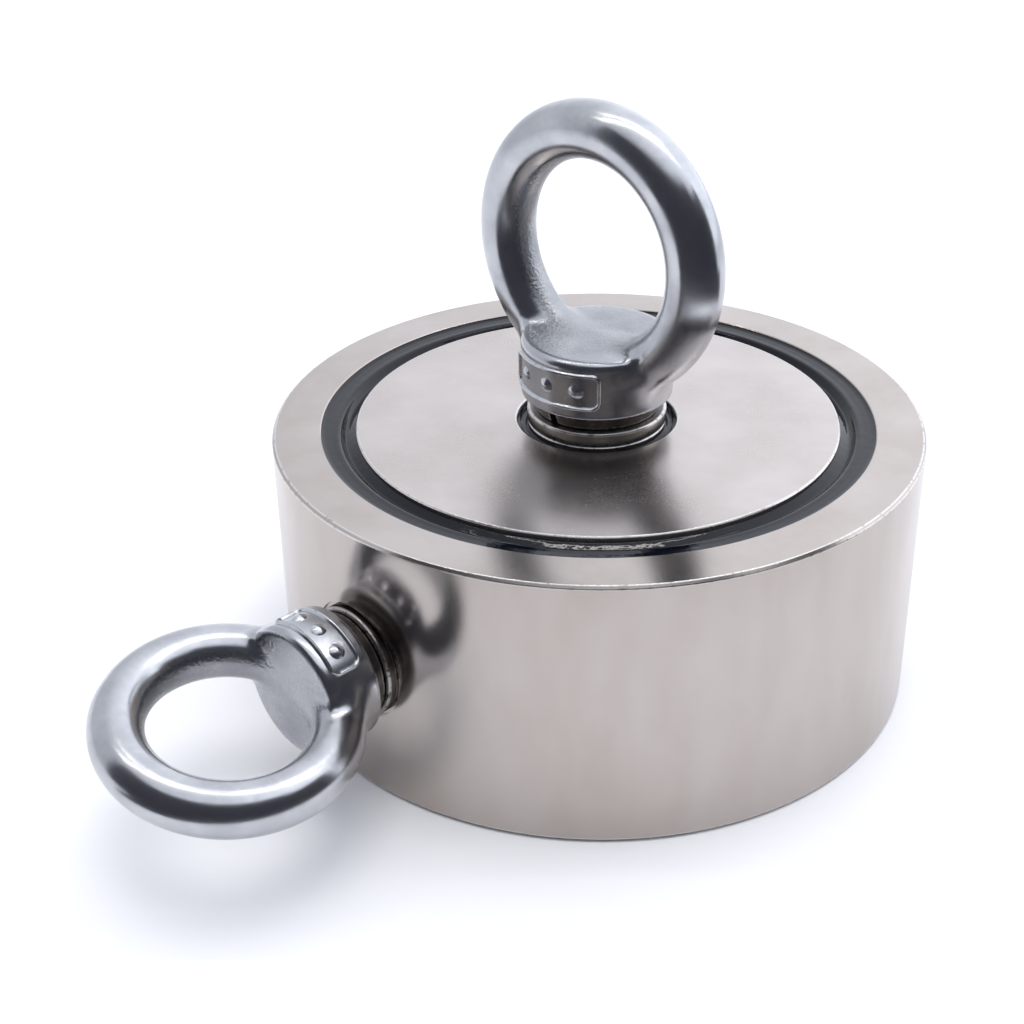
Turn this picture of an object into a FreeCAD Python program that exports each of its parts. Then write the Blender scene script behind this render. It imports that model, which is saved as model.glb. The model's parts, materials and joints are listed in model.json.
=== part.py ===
import FreeCAD, Part
import math
import os
import Sketcher

# Double-sided fishing magnet: a steel pot with a ring magnet and a pole disc in each end, a threaded core
# through the middle, and two eye bolts, one on the upper face and one in the side wall.
# Millimetres. The origin is the centre of the pot's lower face, +Z is up and the side eye points along -Y.

doc = FreeCAD.newDocument("fishing_magnet")

# ---------------------------------------------------------------- driving dimensions
SIZES = [
    # pot and its filling
    ("pot_dia", 94.0, "outer diameter of the pot"),
    ("pot_height", 40.0, "height of the pot, face to face"),
    ("rim_wall", 7.0, "thickness of the pot's rim"),
    ("web_thick", 12.0, "steel web between the two cavities"),
    ("pot_chamfer", 0.4, "chamfer on the pot's outer edges"),
    ("rim_chamfer", 0.3, "chamfer on the rim's inner edge"),
    ("seal_width", 5.0, "resin ring between rim and pole disc"),
    ("seal_sink", 0.45, "how far the resin lies below the faces"),
    ("seal_dish", 0.35, "extra depth of the resin half way across"),
    ("disc_thick", 4.5, "pole disc thickness"),
    ("disc_chamfer", 0.5, "chamfer on the pole disc's edges"),
    ("core_dia", 20.0, "threaded core diameter"),
    ("core_seal", 1.6, "resin ring between core and pole disc"),
    ("core_chamfer", 0.3, "chamfer on the core's outer edges"),
    # threads
    ("thread_clear", 0.05, "radial clearance of a thread in its hole"),
    ("hole_spare", 2.4, "depth of a threaded hole beyond the bolt's tip"),
    ("mouth_flare", 0.7, "countersink at an eye bolt's hole"),
    ("drill_cone", 59.0, "half angle of a drilled hole's end, degrees"),
    ("lower_thread", 10.0, "thread diameter of the free lower hole"),
    ("core_wall", 2.88, "solid core between the tips of its two holes"),
    ("seat_gap", 0.05, "gap left between seated moving pieces"),
    ("washer_slack", 0.25, "radial slack of a washer on its bolt"),
    ("slit_width", 1.3, "slit of a spring washer"),
    ("slit_slant", 20.0, "slant of a spring washer's slit, degrees"),
    # upper eye bolt and washers
    ("top_thread", 10.0, "thread diameter of the upper eye bolt"),
    ("top_reach", 18.0, "shank length below the seat"),
    ("top_mean", 33.9, "mean diameter of the upper eye's ring"),
    ("top_stock", 8.0, "ring bar diameter"),
    ("top_hub_dia", 21.8, "hub diameter"),
    ("top_hub_rise", 0.7, "hub face above the ring's inner edge"),
    ("top_plaque_high", 5.7, "height of the raised plaque on the hub"),
    ("top_turn", 2.8, "turn of the upper ring about its bolt, degrees"),
    ("top_flat_dia", 20.2, "flat washer diameter"),
    ("top_flat_thick", 2.0, "flat washer thickness"),
    ("top_spring_dia", 18.1, "spring washer diameter"),
    ("top_spring_thick", 2.2, "spring washer thickness"),
    # side eye bolt and washers
    ("side_thread", 8.0, "thread diameter of the side eye bolt"),
    ("side_reach", 15.0, "shank length below the seat"),
    ("side_mean", 28.1, "mean diameter of the side eye's ring"),
    ("side_stock", 7.2, "ring bar diameter"),
    ("side_hub_dia", 18.6, "hub diameter"),
    ("side_hub_rise", 0.6, "hub face above the ring's inner edge"),
    ("side_plaque_high", 5.1, "height of the raised plaque on the hub"),
    ("side_roll", 11.9, "turn of the side ring about its bolt, degrees"),
    ("side_flat_dia", 16.0, "flat washer diameter"),
    ("side_flat_thick", 1.6, "flat washer thickness"),
    ("side_spring_dia", 14.8, "spring washer diameter"),
    ("side_spring_thick", 2.2, "spring washer thickness"),
    ("spot_dia", 17.0, "spot face in the wall under the side washer"),
    ("spot_depth", 0.85, "depth of the spot face at the wall's crown"),
    # shared eye bolt details
    ("ring_lift", 0.1, "ring's lowest point above the seat"),
    ("hub_chamfer", 0.5, "chamfer on the hub's seat edge"),
    ("hub_round", 1.2, "rounding of the hub's upper edge"),
    ("neck_blend", 1.2, "fillet where ring and hub meet"),
    ("tip_chamfer", 1.0, "chamfer on the shank's tip"),
    ("relief_cut", 0.9, "radial depth of the thread relief"),
    ("relief_length", 2.0, "length of the thread relief"),
    ("plaque_rise", 0.4, "how far the plaque stands out of the hub"),
    ("plaque_sweep", 88.0, "arc of the plaque round the hub, degrees"),
    ("pip_size", 0.95, "radius of the round pips on the plaque"),
    ("pip_step", 25.0, "angle between neighbouring pips, degrees"),
]

sheet = doc.addObject("Spreadsheet::Sheet", "sizes")
for row, (alias, value, note) in enumerate(SIZES, start=1):
    sheet.set(f"A{row}", note)
    sheet.set(f"B{row}", str(value))
    sheet.setAlias(f"B{row}", alias)
doc.recompute()


def rule(text):
    """Write 'pot_dia / 2' as the sheet reference 'sizes.pot_dia / 2'."""
    words = {alias for alias, value, note in SIZES}
    parts = []
    word = ""
    for letter in text + " ":
        if letter.isalnum() or letter == "_":
            word += letter
            continue
        parts.append(f"sizes.{word}" if word in words else word)
        parts.append(letter)
        word = ""
    return "".join(parts).strip()


def size(text):
    """The number that a rule gives now."""
    return float(sheet.evalExpression(rule(text)))


# ---------------------------------------------------------------- modelling helpers
def newBody(label):
    body = doc.addObject("PartDesign::Body", label)
    body.Label = label
    return body


def newSketch(body, name, role):
    plane = next(item for item in body.Origin.OriginFeatures if item.Role == role)
    sketch = body.newObject("Sketcher::SketchObject", name)
    sketch.AttachmentSupport = [(plane, "")]
    sketch.MapMode = "FlatFace"
    return sketch


def pinPoint(sketch, geo, end, x, y, name):
    """Hold one end of a line or arc at the rules x and y from the sketch's origin."""
    for kind, text, axis in (("DistanceX", x, "x"), ("DistanceY", y, "y")):
        value = size(text)
        if text == "0":
            sketch.addConstraint(Sketcher.Constraint("PointOnObject", geo, end, -2 if axis == "x" else -1))
            continue
        index = sketch.addConstraint(Sketcher.Constraint(kind, -1, 1, geo, end, value))
        sketch.renameConstraint(index, f"{name}_{axis}")
        sketch.setExpression(f"Constraints.{name}_{axis}", rule(text))


def drawOutline(sketch, outline):
    """Closed outline. Each point is (x rule, y rule) or (x rule, y rule, radius rule, side):
    with a radius, the stretch to the next point is an arc that bulges left (1) or right (-1)."""
    places = [FreeCAD.Vector(size(point[0]), size(point[1]), 0) for point in outline]
    count = len(outline)
    ends = []
    for i, point in enumerate(outline):
        start, end = places[i], places[(i + 1) % count]
        if len(point) == 2:
            sketch.addGeometry(Part.LineSegment(start, end), False)
            ends.append((1, 2))
        else:
            sketch.addGeometry(arcBetween(start, end, size(point[2]), point[3]), False)
            ends.append((2, 1) if point[3] > 0 else (1, 2))
    for i, point in enumerate(outline):
        following = (i + 1) % count
        sketch.addConstraint(Sketcher.Constraint("Coincident", i, ends[i][1], following, ends[following][0]))
    for i, point in enumerate(outline):
        pinPoint(sketch, i, ends[i][0], point[0], point[1], f"p{i}")
        if len(point) > 2:
            index = sketch.addConstraint(Sketcher.Constraint("Radius", i, size(point[2])))
            sketch.renameConstraint(index, f"p{i}_radius")
            sketch.setExpression(f"Constraints.p{i}_radius", rule(point[2]))


def arcBetween(start, end, radius, side):
    """Anticlockwise arc of the given radius through both points. A left bulge runs from end to start."""
    chord = end - start
    across = FreeCAD.Vector(-chord.y, chord.x, 0).normalize() * side
    centre = (start + end) / 2 - across * math.sqrt(max(radius ** 2 - (chord.Length / 2) ** 2, 0))
    first, last = (end, start) if side > 0 else (start, end)
    angles = [math.atan2(point.y - centre.y, point.x - centre.x) for point in (first, last)]
    return Part.ArcOfCircle(Part.Circle(centre, FreeCAD.Vector(0, 0, 1), radius), angles[0], angles[1])


def drawCircle(sketch, x, y, diameter):
    centre = FreeCAD.Vector(size(x), size(y), 0)
    sketch.addGeometry(Part.Circle(centre, FreeCAD.Vector(0, 0, 1), size(diameter) / 2), False)
    pinPoint(sketch, 0, 3, x, y, "centre")
    index = sketch.addConstraint(Sketcher.Constraint("Diameter", 0, size(diameter)))
    sketch.renameConstraint(index, "across")
    sketch.setExpression("Constraints.across", rule(diameter))


def revolve(body, name, sketch, kind="PartDesign::Revolution", angle=None):
    feature = body.newObject(kind, name)
    feature.Profile = (sketch, [""])
    feature.ReferenceAxis = (sketch, ["V_Axis"])
    feature.Angle = 360
    if angle:
        feature.Midplane = True
        feature.setExpression("Angle", rule(angle))
    doc.recompute()
    return feature


def turned(label, outline):
    """A body turned about its own Z axis from half an outline of (radius, height) rules."""
    body = newBody(label)
    sketch = newSketch(body, f"{label}_outline", "XZ_Plane")
    drawOutline(sketch, outline)
    revolve(body, f"{label}_turned", sketch)
    return body


def pocket(body, name, sketch, length):
    """Cut a sketch into the body, on the side where it takes material away."""
    before = body.Shape.Volume
    feature = body.newObject("PartDesign::Pocket", name)
    feature.Profile = (sketch, [""])
    feature.setExpression("Length", rule(length))
    doc.recompute()
    if feature.Shape.Volume > before - 1e-3:
        feature.Reversed = True
        doc.recompute()
    if feature.Shape.Volume > before - 1e-3:
        raise RuntimeError(f"{name} removes nothing")
    return feature


def ringOutline(inner, outer, low, high, chamfer):
    """Flat ring with all four edges chamfered."""
    return [(f"{inner} + {chamfer}", low), (f"{outer} - {chamfer}", low), (outer, f"{low} + {chamfer}"),
            (outer, f"{high} - {chamfer}"), (f"{outer} - {chamfer}", high), (f"{inner} + {chamfer}", high),
            (inner, f"{high} - {chamfer}"), (inner, f"{low} + {chamfer}")]


# ---------------------------------------------------------------- places shared by several pieces
POT_R = "pot_dia / 2"
CAVITY_R = "(pot_dia / 2 - rim_wall)"
DISC_R = "(pot_dia / 2 - rim_wall - seal_width)"
DISC_HOLE_R = "(core_dia / 2 + core_seal)"
CORE_R = "(core_dia / 2)"
CAVITY_DEPTH = "((pot_height - web_thick) / 2)"
TOP_BORE_R = "(top_thread / 2 + thread_clear)"
SIDE_BORE_R = "(side_thread / 2 + thread_clear)"
LOWER_BORE_R = "(lower_thread / 2 + thread_clear)"
TOP_STACK = "(top_flat_thick + top_spring_thick + 3 * seat_gap)"
SIDE_STACK = "(side_flat_thick + side_spring_thick + 3 * seat_gap)"
TOP_BORE_DEPTH = f"(top_reach - {TOP_STACK} + hole_spare)"
SIDE_BORE_DEPTH = f"(side_reach - {SIDE_STACK} + spot_depth + hole_spare)"
SIDE_SEAT = "(pot_dia / 2 - spot_depth)"


# ---------------------------------------------------------------- pot and core
def makePot():
    """Turned steel pot: an outer wall and a web, with a deep cavity in each end."""
    web_low = CAVITY_DEPTH
    web_high = f"(pot_height - {CAVITY_DEPTH})"
    body = turned("steel_pot", [
        (CORE_R, web_low), (CAVITY_R, web_low), (CAVITY_R, "rim_chamfer"), (f"{CAVITY_R} + rim_chamfer", "0"),
        (f"{POT_R} - pot_chamfer", "0"), (POT_R, "pot_chamfer"),
        (POT_R, "pot_height - pot_chamfer"), (f"{POT_R} - pot_chamfer", "pot_height"),
        (f"{CAVITY_R} + rim_chamfer", "pot_height"), (CAVITY_R, "pot_height - rim_chamfer"),
        (CAVITY_R, web_high), (CORE_R, web_high)])
    cuts = (("side_bore", f"2 * {SIDE_BORE_R}", SIDE_BORE_DEPTH),
            ("side_mouth", f"2 * ({SIDE_BORE_R} + mouth_flare)", "spot_depth + mouth_flare"),
            ("side_spot", "spot_dia", "spot_depth"))
    for name, diameter, depth in cuts:
        sketch = newSketch(body, f"{name}_sketch", "XZ_Plane")
        sketch.setExpression("AttachmentOffset.Base.z", rule(POT_R))
        drawCircle(sketch, "0", "pot_height / 2", diameter)
        pocket(body, name, sketch, depth)
    return body


def makeCore():
    """Steel core pressed into the web, with a blind threaded hole in each end."""
    upper_end = f"pot_height - {TOP_BORE_DEPTH}"
    upper_tip = f"{upper_end} - {TOP_BORE_R} / tan(drill_cone * 1deg)"
    lower_tip = f"{upper_tip} - core_wall"
    return turned("threaded_core", [
        (LOWER_BORE_R, "0"), (f"{CORE_R} - core_chamfer", "0"), (CORE_R, "core_chamfer"),
        (CORE_R, "pot_height - core_chamfer"), (f"{CORE_R} - core_chamfer", "pot_height"),
        (f"{TOP_BORE_R} + mouth_flare", "pot_height"), (TOP_BORE_R, "pot_height - mouth_flare"),
        (TOP_BORE_R, upper_end), ("0", upper_tip), ("0", lower_tip),
        (LOWER_BORE_R, f"{lower_tip} - {LOWER_BORE_R} / tan(drill_cone * 1deg)")])


# ---------------------------------------------------------------- filling of one end
def makeFilling(side, placement):
    """Ring magnet, pole disc and two resin rings, drawn for the lower end with its face at z = 0."""
    makers = (
        (f"{side}_ring_magnet",
         ringOutline(DISC_HOLE_R, DISC_R, "disc_thick", CAVITY_DEPTH, "disc_chamfer")),
        (f"{side}_pole_disc",
         ringOutline(DISC_HOLE_R, DISC_R, "0", "disc_thick", "disc_chamfer")),
        (f"{side}_outer_resin", resinOutline(DISC_R, CAVITY_R)),
        (f"{side}_core_resin", resinOutline(CORE_R, DISC_HOLE_R)),
    )
    bodies = []
    for label, outline in makers:
        body = turned(label, outline)
        body.Placement = placement
        bodies.append(body)
    return bodies


def resinOutline(inner, outer):
    """Cast resin between two walls, its open surface dished between them."""
    radius = f"((({outer} - {inner}) / 2) ^ 2 + dish ^ 2) / (2 * dish)".replace("dish", "seal_dish")
    return [(inner, "seal_sink", radius, 1), (outer, "seal_sink"), (outer, CAVITY_DEPTH), (inner, CAVITY_DEPTH)]


# ---------------------------------------------------------------- washers, seat side at z = 0
def makeFlatWasher(label, kind):
    inner = f"({kind}_thread / 2 + washer_slack)"
    return turned(label, ringOutline(inner, f"({kind}_flat_dia / 2)", "0", f"{kind}_flat_thick", "0.2"))


def makeSpringWasher(label, kind):
    """Split washer, drawn as it lies when the bolt is tight."""
    inner = f"({kind}_thread / 2 + washer_slack)"
    outer = f"({kind}_spring_dia / 2)"
    thick = f"{kind}_spring_thick"
    body = turned(label, ringOutline(inner, outer, "0", thick, "0.15"))
    sketch = newSketch(body, f"{label}_slit_sketch", "XZ_Plane")
    lean = f"{thick} / 2 * tan(slit_slant * 1deg)"
    drawOutline(sketch, [
        (f"0 - slit_width / 2 - {lean}", "0"), (f"slit_width / 2 - {lean}", "0"),
        (f"slit_width / 2 + {lean}", thick), (f"0 - slit_width / 2 + {lean}", thick)])
    pocket(body, f"{label}_slit", sketch, f"{outer} + 1")
    return body


# ---------------------------------------------------------------- eye bolts, seat at z = 0, ring in the XZ plane
def makeEyeBolt(label, kind):
    """Cast eye bolt: shank with thread relief, turned hub, ring, blends, and a plaque with three pips."""
    shank_r = f"({kind}_thread / 2)"
    hub_r = f"({kind}_hub_dia / 2)"
    hub_top = f"({kind}_stock + {kind}_hub_rise)"
    ring_height = f"(({kind}_mean + {kind}_stock) / 2 + ring_lift)"
    body = turned(label, [
        ("0", f"0 - {kind}_reach"), (f"{shank_r} - tip_chamfer", f"0 - {kind}_reach"),
        (shank_r, f"tip_chamfer - {kind}_reach"), (shank_r, "0 - relief_length - relief_cut"),
        (f"{shank_r} - relief_cut", "0 - relief_length"), (f"{shank_r} - relief_cut", "0"),
        (f"{hub_r} - hub_chamfer", "0"), (hub_r, "hub_chamfer"),
        (hub_r, f"{hub_top} - hub_round", "hub_round", -1), (f"{hub_r} - hub_round", hub_top), ("0", hub_top)])

    ring_sketch = newSketch(body, f"{label}_bar", "XY_Plane")
    ring_sketch.setExpression("AttachmentOffset.Base.z", rule(ring_height))
    drawCircle(ring_sketch, f"{kind}_mean / 2", "0", f"{kind}_stock")
    revolve(body, f"{label}_ring", ring_sketch)
    blendNeck(body, label, hub_r, hub_top)

    low = f"(({hub_top} - {kind}_plaque_high) / 2)"
    plaque_sketch = newSketch(body, f"{label}_plaque_sketch", "YZ_Plane")
    drawOutline(plaque_sketch, [
        (f"1 - {hub_r}", low), (f"0 - {hub_r} - plaque_rise", low),
        (f"0 - {hub_r} - plaque_rise", f"{hub_top} - {low}"), (f"1 - {hub_r}", f"{hub_top} - {low}")])
    revolve(body, f"{label}_plaque", plaque_sketch, angle="plaque_sweep")
    for step in (-1, 0, 1):
        pip = body.newObject("PartDesign::AdditiveSphere", f"{label}_pip{step + 2}")
        pip.setExpression("Radius", rule("pip_size"))
        angle = f"pip_step * {step} * 1deg"
        pip.setExpression("AttachmentOffset.Base.x", rule(f"({hub_r} + plaque_rise - 0.3) * sin({angle})"))
        pip.setExpression("AttachmentOffset.Base.y", rule(f"0 - ({hub_r} + plaque_rise - 0.3) * cos({angle})"))
        pip.setExpression("AttachmentOffset.Base.z", rule(f"{hub_top} / 2"))
        doc.recompute()
    return body


def blendNeck(body, label, hub_r, hub_top):
    """Fillet the seams between the ring and the hub's side and upper face."""
    base = body.Tip
    torus = [face for face in base.Shape.Faces if isinstance(face.Surface, Part.Toroid)
             and face.Surface.MajorRadius > size(hub_r)]
    seams = []
    for index, edge in enumerate(base.Shape.Edges, start=1):
        touches = sum(1 for face in torus for other in face.Edges if other.isSame(edge))
        if touches == 1 and edge.BoundBox.ZMax < size(hub_top) + 1e-3:
            seams.append(f"Edge{index}")
    fillet = body.newObject("PartDesign::Fillet", f"{label}_blend")
    fillet.Base = (base, seams)
    fillet.setExpression("Radius", rule("neck_blend"))
    doc.recompute()


# ---------------------------------------------------------------- the assembly
up = FreeCAD.Vector(0, 0, 1)
pieces = [makePot(), makeCore()]

flip = FreeCAD.Rotation(FreeCAD.Vector(1, 0, 0), 180)
pieces += makeFilling("lower", FreeCAD.Placement())
pieces += makeFilling("upper", FreeCAD.Placement(up * size("pot_height"), flip))

top_places = (
    (makeFlatWasher("top_flat_washer", "top"), "pot_height + seat_gap", 0),
    (makeSpringWasher("top_spring_washer", "top"), "pot_height + 2 * seat_gap + top_flat_thick", 180),
    (makeEyeBolt("top_eye_bolt", "top"), f"pot_height + {TOP_STACK}", size("top_turn")),
)
for body, height, turn in top_places:
    body.Placement = FreeCAD.Placement(up * size(height), FreeCAD.Rotation(up, turn))
    pieces.append(body)

outward = FreeCAD.Rotation(FreeCAD.Vector(1, 0, 0), 90)
side_places = (
    (makeFlatWasher("side_flat_washer", "side"), f"{SIDE_SEAT} + seat_gap", 0),
    (makeSpringWasher("side_spring_washer", "side"), f"{SIDE_SEAT} + 2 * seat_gap + side_flat_thick", 40),
    (makeEyeBolt("side_eye_bolt", "side"), f"{SIDE_SEAT} + {SIDE_STACK}", 180 - size("side_roll")),
)
for body, reach, turn in side_places:
    place = FreeCAD.Vector(0, -size(reach), size("pot_height / 2"))
    body.Placement = FreeCAD.Placement(place, outward.multiply(FreeCAD.Rotation(up, turn)))
    pieces.append(body)

doc.recompute()

# ---------------------------------------------------------------- checks and files
for item in doc.Objects:
    if {"Invalid", "Error"} & set(item.State):
        raise RuntimeError(f"{item.Label} did not compute: {item.State}")
for body in pieces:
    if body.Shape.isNull() or not body.Shape.isValid() or len(body.Shape.Solids) != 1:
        raise RuntimeError(f"{body.Label} is not one valid solid")

os.makedirs("parts", exist_ok=True)
for body in pieces:
    body.Shape.exportStep(f"parts/{body.Label}.step")
    box = body.Shape.BoundBox
    print(f"{body.Label:20s} {body.Shape.Volume:10.1f} mm3  z {box.ZMin:7.2f} to {box.ZMax:7.2f}")
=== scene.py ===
import json
import math

import bmesh
import bpy
import numpy as np
from mathutils import Matrix, Vector


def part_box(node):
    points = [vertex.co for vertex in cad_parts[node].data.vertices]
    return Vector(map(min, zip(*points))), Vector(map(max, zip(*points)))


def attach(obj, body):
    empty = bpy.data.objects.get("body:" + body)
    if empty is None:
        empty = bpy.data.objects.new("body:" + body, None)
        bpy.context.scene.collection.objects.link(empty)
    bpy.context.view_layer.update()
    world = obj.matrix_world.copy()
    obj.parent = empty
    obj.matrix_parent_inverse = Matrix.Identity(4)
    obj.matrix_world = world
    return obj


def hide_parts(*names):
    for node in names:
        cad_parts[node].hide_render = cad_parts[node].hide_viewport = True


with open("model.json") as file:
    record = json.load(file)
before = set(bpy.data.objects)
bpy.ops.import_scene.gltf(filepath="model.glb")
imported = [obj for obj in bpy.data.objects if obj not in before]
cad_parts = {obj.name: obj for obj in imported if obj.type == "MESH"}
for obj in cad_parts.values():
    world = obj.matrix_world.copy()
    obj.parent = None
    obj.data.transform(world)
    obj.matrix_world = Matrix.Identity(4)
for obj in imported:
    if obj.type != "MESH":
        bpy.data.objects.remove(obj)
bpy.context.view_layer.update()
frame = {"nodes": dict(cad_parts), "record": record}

# Double-sided fishing magnet: nickel-plated pot, black epoxy seals, two cast eye bolts with washers.
# Sizes in the dictionaries are millimetres, the scene is in metres.
mm = 0.001
sharpAngle = math.radians(40)  # faces that meet at more than this keep a crisp edge


# places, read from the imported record
def readJoint(name):
    joint = next(j for j in frame["record"]["behaviour"]["joints"] if j["name"] == name)
    return Vector(joint["pos_m"]), Vector(joint["axis"]).normalized()


def readMount(name):
    mount = next(m for m in frame["record"]["mounts"] if m["name"] == name)
    return Vector(mount["pos_m"]), Vector(mount["axis"]).normalized()


def boltPlace(joint, mount):
    # origin on the hub's seat, z outward along the bolt, the ring in the xz plane
    seat, outward = readJoint(joint)
    across = -readMount(mount)[1]
    side = across.cross(outward)
    turn = Matrix((side, across, outward)).transposed().to_4x4()
    return Matrix.Translation(seat) @ turn


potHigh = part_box("steel_pot")[1]
potRadius = potHigh[0] / mm
potHeight = potHigh[2] / mm
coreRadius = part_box("threaded_core")[1][0] / mm
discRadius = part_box("upper_pole_disc")[1][0] / mm
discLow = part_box("upper_pole_disc")[0][2] / mm
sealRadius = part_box("upper_outer_resin")[1][0] / mm
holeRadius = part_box("upper_core_resin")[1][0] / mm
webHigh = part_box("upper_outer_resin")[0][2] / mm
webLow = potHeight - webHigh
topPlace = boltPlace("top_unscrew", "top_eye")
sidePlace = boltPlace("side_unscrew", "side_eye")


# mesh helpers
def newObject(name, mesh):
    obj = bpy.data.objects.new(name, mesh)
    bpy.context.scene.collection.objects.link(obj)
    return obj


def buildMesh(name, points, faces, marks=None):
    # points in millimetres, marks are numbers kept on the points for the materials and the thread tree
    mesh = bpy.data.meshes.new(name)
    mesh.from_pydata((np.asarray(points) * mm).tolist(), [], faces)
    for mark, values in (marks or {}).items():
        layer = mesh.attributes.new(mark, "FLOAT", "POINT")
        layer.data.foreach_set("value", np.asarray(values, dtype=np.float32))
    bm = bmesh.new()
    bm.from_mesh(mesh)
    bmesh.ops.recalc_face_normals(bm, faces=bm.faces)
    bm.to_mesh(mesh)
    bm.free()
    mesh.polygons.foreach_set("use_smooth", [True] * len(mesh.polygons))
    mesh.set_sharp_from_angle(angle=sharpAngle)
    mesh.update()
    return mesh


# straight is the bend in degrees that counts as none, share the part of a side that a rounding may take,
# room how much longer than the rounding a side must be to get the extra point where the edge's wear ends
rounding = dict(straight=172.0, share=0.45, room=2.5, steps=4)


def softOutline(corners, closed, edge=0.12, grow=0.15):
    # corners are (radius, height) or (radius, height, rounding)
    # returns (radius, height, how much of an edge it is)
    count = len(corners)
    out = []
    for i, corner in enumerate(corners):
        here = np.array(corner[:2], float)
        if not closed and i in (0, count - 1):
            out.append((here[0], here[1], 0.0))
            continue
        before = np.array(corners[i - 1][:2], float) - here
        after = np.array(corners[(i + 1) % count][:2], float) - here
        lengths = np.linalg.norm(before), np.linalg.norm(after)
        before, after = before / lengths[0], after / lengths[1]
        bend = math.acos(float(np.clip(before @ after, -1, 1)))
        radius = corner[2] if len(corner) > 2 else edge
        if bend > math.radians(rounding["straight"]) or radius <= 0:
            out.append((here[0], here[1], 0.0))
            continue
        reach = min(radius / math.tan(bend / 2), rounding["share"] * min(lengths))
        radius = reach * math.tan(bend / 2)
        centre = here + (before + after) / np.linalg.norm(before + after) * radius / math.sin(bend / 2)
        start, end = here + before * reach, here + after * reach
        room = rounding["room"] * (reach + grow)
        steps = rounding["steps"]
        if lengths[0] > room:
            out.append((*(start + before * grow), 0.0))
        for k in range(steps + 1):
            way = start + (end - start) * k / steps - centre
            point = centre + way / np.linalg.norm(way) * radius
            out.append((point[0], point[1], 1.0))
        if lengths[1] > room:
            out.append((*(end + after * grow), 0.0))
    return out


def turnedMesh(name, outline, closed=True, around=256, threads=()):
    # Turned body about z. threads lists (low, high, fade, radius): the wall of that radius carries the screw
    # thread between those heights, and the thread runs out over the fade at each end.
    rings = np.array([(max(r, 0.0), z, e) for r, z, e in outline])
    angles = np.arange(around) * 2 * math.pi / around
    points, marks, first = [], {"edge": [], "thread": []}, []
    for r, z, e in rings:
        share = 0.0
        for low, high, fade, radius in threads:
            if abs(r - radius) < 1e-6:
                share = max(share, min(1.0, (z - low) / fade, (high - z) / fade))
        first.append(len(points))
        spots = [(0.0, 0.0, z)] if r == 0 else [(r * math.cos(a), r * math.sin(a), z) for a in angles]
        points += spots
        marks["edge"] += [e] * len(spots)
        marks["thread"] += [share] * len(spots)
    faces = []
    pairs = list(zip(range(len(rings)), range(1, len(rings))))
    if closed:
        pairs.append((len(rings) - 1, 0))
    for a, b in pairs:
        for k in range(around):
            n = (k + 1) % around
            lower = [first[a]] if rings[a][0] == 0 else [first[a] + k, first[a] + n]
            upper = [first[b]] if rings[b][0] == 0 else [first[b] + n, first[b] + k]
            if len(lower) + len(upper) > 2:
                faces.append(lower + upper)
    return buildMesh(name, points, faces, marks)


def threadedLine(radius, low, high, step):
    # close rings along a wall, for the thread tree to raise
    count = max(2, int(round(abs(high - low) / step)))
    return [(radius, low + (high - low) * k / count) for k in range(count + 1)]


def evaluated(obj):
    # what the modifiers make, as a plain mesh
    graph = bpy.context.evaluated_depsgraph_get()
    made = bpy.data.meshes.new_from_object(obj.evaluated_get(graph), depsgraph=graph)
    obj.modifiers.clear()
    old = obj.data
    obj.data = made
    bpy.data.meshes.remove(old)
    return obj


def joined(name, objects):
    with bpy.context.temp_override(active_object=objects[0], selected_editable_objects=objects):
        bpy.ops.object.join()
    objects[0].name = name
    objects[0].data.name = name
    return objects[0]


def put(obj, place):
    # the place goes into the mesh, the object stays at the origin
    obj.data.transform(place)
    obj.data.update()
    return obj


# materials
def addNode(tree, kind, settings=None, inputs=None):
    # settings are the node's own, inputs are values or sockets by name or number
    node = tree.nodes.new(kind)
    for name, value in (settings or {}).items():
        setattr(node, name, value)
    for name, value in (inputs or {}).items():
        if isinstance(value, bpy.types.NodeSocket):
            tree.links.new(value, node.inputs[name])
        else:
            node.inputs[name].default_value = value
    return node


def colour(text):
    # sRGB hex to linear
    parts = [int(text[i:i + 2], 16) / 255 for i in (1, 3, 5)]
    return [c / 12.92 if c <= 0.04045 else ((c + 0.055) / 1.055) ** 2.4 for c in parts] + [1.0]


def newMaterial(name):
    material = bpy.data.materials.new(name)
    material.use_nodes = True
    tree = material.node_tree
    tree.nodes.clear()
    shader = addNode(tree, "ShaderNodeBsdfPrincipled")
    addNode(tree, "ShaderNodeOutputMaterial", None, {"Surface": shader.outputs[0]})
    coordinates = addNode(tree, "ShaderNodeTexCoord").outputs["Object"]
    return material, tree, shader, coordinates


def link(tree, output, target):
    tree.links.new(output, target)


def maths(tree, operation, *values):
    return addNode(tree, "ShaderNodeMath", {"operation": operation}, dict(enumerate(values))).outputs[0]


def remapped(tree, value, fromLow, fromHigh, toLow=0.0, toHigh=1.0):
    return addNode(tree, "ShaderNodeMapRange", None, {
        "Value": value, "From Min": fromLow, "From Max": fromHigh,
        "To Min": toLow, "To Max": toHigh}).outputs[0]


def blended(tree, share, first, second):
    return addNode(tree, "ShaderNodeMix", {"data_type": "RGBA"}, {0: share, 6: first, 7: second}).outputs[2]


def noise(tree, where, size, detail=2.0, roughness=0.5):
    # size of a blot in mm
    return addNode(tree, "ShaderNodeTexNoise", None, {
        "Vector": where, "Scale": 1000 / size, "Detail": detail, "Roughness": roughness}).outputs[0]


def mark(tree, name):
    return addNode(tree, "ShaderNodeAttribute", {"attribute_name": name}).outputs["Fac"]


def bump(tree, height, depth, strength=1.0, under=None):
    # depth in mm, under is the normal that this bump lies on
    inputs = {"Strength": strength, "Distance": depth * mm, "Height": height}
    if under is not None:
        inputs["Normal"] = under
    return addNode(tree, "ShaderNodeBump", None, inputs).outputs[0]


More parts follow.
